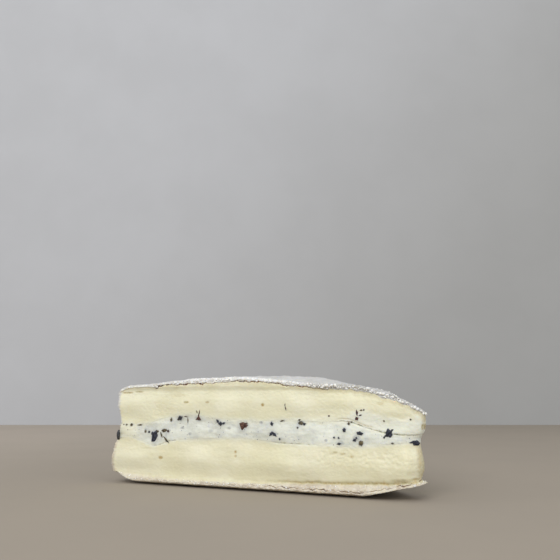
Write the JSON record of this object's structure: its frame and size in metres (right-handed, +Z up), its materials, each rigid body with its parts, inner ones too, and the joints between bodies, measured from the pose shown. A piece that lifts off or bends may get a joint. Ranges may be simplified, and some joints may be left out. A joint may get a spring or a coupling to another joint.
{
  "type": "truffle brie wedge",
  "caption": "Cut wedge of soft-ripened cheese in its bloomy rind, split level with a pale truffle-flecked cream layer through the middle.",
  "frame": {"origin": "middle of the bounding box's footprint, on the surface that the wedge lies on", "axes": "+X along the long cut face, from the wheel's rim to the wedge's nose; -Y out of the long cut face; +Z up"},
  "size_m": [0.136, 0.0992, 0.0447],
  "materials": {
    "paste": "smooth, slightly moist pale yellow cheese paste",
    "cream": "matt off-white cream with dark truffle pieces"
  },
  "bodies": {
    "root": {"lower_brie": "paste", "truffle_cream": "cream", "upper_brie": "paste"}
  },
  "joints": []
}
